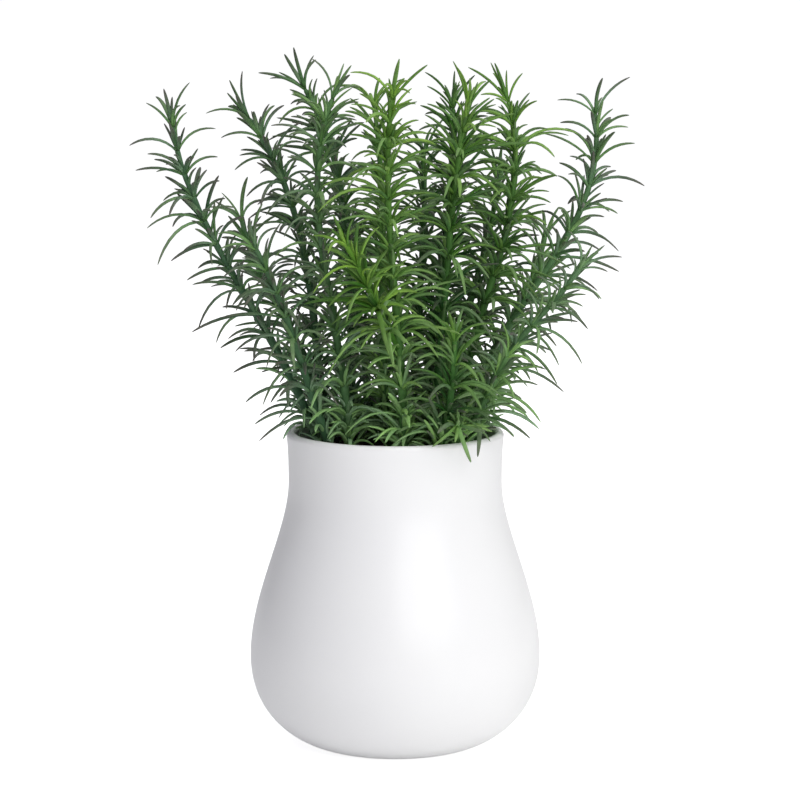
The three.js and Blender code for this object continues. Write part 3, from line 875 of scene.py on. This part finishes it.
def make_sprigs():
    material = leaf_material()
    stems_only, occupied = Occupied(), Occupied()
    for name, number, stems in make_stems(stems_only, occupied):
        leaves = []
        for branch, stem in enumerate(stems):
            for whorl, at in enumerate(stem.whorls()):
                for index in range(LEAVES_PER_WHORL):
                    leaf = place_leaf(stem, number, whorl + BRANCH_WHORLS * branch, at, index,
                                      occupied)
                    if leaf:
                        leaves.append((stem, leaf))
        for branch, stem in enumerate(stems):
            leaves += extra_leaves(stem, number, branch, stems_only)
        mesh = Mesh()
        for stem in stems:
            add_stem(mesh, stem, stem.whorls())
        for stem, leaf in leaves:
            share, values = leaf["share"], leaf["values"]
            fresh = blend(*stem.fresh, share) + around(0, FRESH_SPREAD, values[0])
            fresh += TUFT_FRESH * leaf["young"]
            pale = blend(*stem.pale, share) + around(0, PALE_SPREAD, values[5])
            # Painted light near the soil makes the low leaves paler.
            pale = min(pale, 1) + FOOT_PAINTED_LIGHT * max(0, 1 - share / FOOT_SHARE)
            add_leaf(mesh, leaf, min(max(fresh, 0), 1), min(max(pale, 0), PALE_MOST))
        piece = mesh.make(name + "_leaves", material)
        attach(piece, "root")
        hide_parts(name)


# ---- Stage, lights and camera, in metres ----

FLOOR_HALF = 15
FLOOR_GLOW = 0.74  # makes the floor white to the camera
FLOOR_GLOW_ELSEWHERE = 0.12
# The studio's soft light from the left and from the right.
WORLD_LEFT = (0.120, 0.117, 0.153, 1)
WORLD_RIGHT = (0.48, 0.48, 0.475, 1)
# Each soft box: its azimuth and elevation in degrees, its side and its power. Azimuth 0 is the
# camera's side, and 90 is the right.
SOFT_BOXES = {
    "key": (26, 32, 1.3, 13.4),
    "top": (20, 80, 1.4, 8),
    "back": (160, 35, 1.2, 4.5),
}
SOFT_BOX_DISTANCE = 1.5
SOFT_BOX_AIM = np.array([0, 0, 0.12])
# The camera, as worked out from the photo.
PHOTO_SIZE = 800
PIXEL = 0.0004152  # what a pixel covers at the pot's axis
AXIS_COLUMN = 395.2
CAMERA_DISTANCE = 1.6
CAMERA_TILT = math.radians(8.3)
CAMERA_AIM_Z = 0.1456
SENSOR_WIDTH = 36  # millimetres


def make_floor():
    n = Nodes("pale_floor")
    n.finish(Base_Color=(0.9, 0.9, 0.9, 1), Roughness=0.9)
    glow = n.add("ShaderNodeEmission", {"Color": (1, 1, 1, 1)})
    camera_only = n.add("ShaderNodeLightPath").outputs["Is Camera Ray"]
    strength = n.ramp(camera_only, 0, 1, FLOOR_GLOW_ELSEWHERE, FLOOR_GLOW)
    n.set(glow.inputs["Strength"], strength)
    both = n.add("ShaderNodeAddShader")
    n.set(both.inputs[0], n.shader.outputs[0])
    n.set(both.inputs[1], glow.outputs[0])
    n.set(n.tree.nodes["Material Output"].inputs["Surface"], both.outputs[0])
    mesh = bpy.data.meshes.new("floor")
    corners = [(x * FLOOR_HALF, y * FLOOR_HALF, 0) for x, y in ((-1, -1), (1, -1), (1, 1), (-1, 1))]
    mesh.from_pydata(corners, [], [(0, 1, 2, 3)])
    mesh.materials.append(n.material)
    floor = bpy.data.objects.new("floor", mesh)
    bpy.context.scene.collection.objects.link(floor)


def soft_box(name, azimuth, elevation, side, power):
    light = bpy.data.lights.new(name, "AREA")
    light.shape, light.size, light.size_y = "RECTANGLE", side, side
    light.energy = power
    lamp = bpy.data.objects.new(name, light)
    a, e = math.radians(azimuth), math.radians(elevation)
    towards = np.array([math.sin(a) * math.cos(e), -math.cos(a) * math.cos(e), math.sin(e)])
    lamp.location = SOFT_BOX_AIM + SOFT_BOX_DISTANCE * towards
    look = (SOFT_BOX_AIM - np.array(lamp.location)).tolist()
    lamp.rotation_euler = Vector(look).to_track_quat("-Z", "Y").to_euler()
    bpy.context.scene.collection.objects.link(lamp)


def make_world():
    """Soft light from all round, which goes from one colour at the left to another at the right."""
    world = bpy.data.worlds.new("studio")
    bpy.context.scene.world = world
    world.use_nodes = True
    tree = world.node_tree
    background = tree.nodes["Background"]
    background.inputs["Strength"].default_value = 1
    place = tree.nodes.new("ShaderNodeTexCoord")
    split = tree.nodes.new("ShaderNodeSeparateXYZ")
    sides = tree.nodes.new("ShaderNodeMapRange")
    tint = tree.nodes.new("ShaderNodeMix")
    tint.data_type = "RGBA"
    tree.links.new(place.outputs["Generated"], split.inputs[0])
    tree.links.new(split.outputs["X"], sides.inputs["Value"])
    sides.inputs["From Min"].default_value, sides.inputs["From Max"].default_value = -1, 1
    tree.links.new(sides.outputs["Result"], tint.inputs[0])
    tint.inputs[6].default_value, tint.inputs[7].default_value = WORLD_LEFT, WORLD_RIGHT
    tree.links.new(tint.outputs[2], background.inputs["Color"])


def make_camera():
    camera = bpy.data.cameras.new("camera")
    camera.sensor_width = SENSOR_WIDTH
    camera.lens = CAMERA_DISTANCE / (PHOTO_SIZE * PIXEL) * SENSOR_WIDTH
    camera.clip_end = 100
    item = bpy.data.objects.new("camera", camera)
    item.location = ((PHOTO_SIZE / 2 - AXIS_COLUMN) * PIXEL,
                     -CAMERA_DISTANCE * math.cos(CAMERA_TILT),
                     CAMERA_AIM_Z + CAMERA_DISTANCE * math.sin(CAMERA_TILT))
    item.rotation_euler = (math.pi / 2 - CAMERA_TILT, 0, 0)
    bpy.context.scene.collection.objects.link(item)
    bpy.context.scene.camera = item


bpy.context.scene.view_settings.view_transform = "Standard"
make_camera()
make_world()
for name, values in SOFT_BOXES.items():
    soft_box(name, *values)
make_floor()
make_pot()
make_soil()
make_sprigs()

bpy.context.view_layer.update()
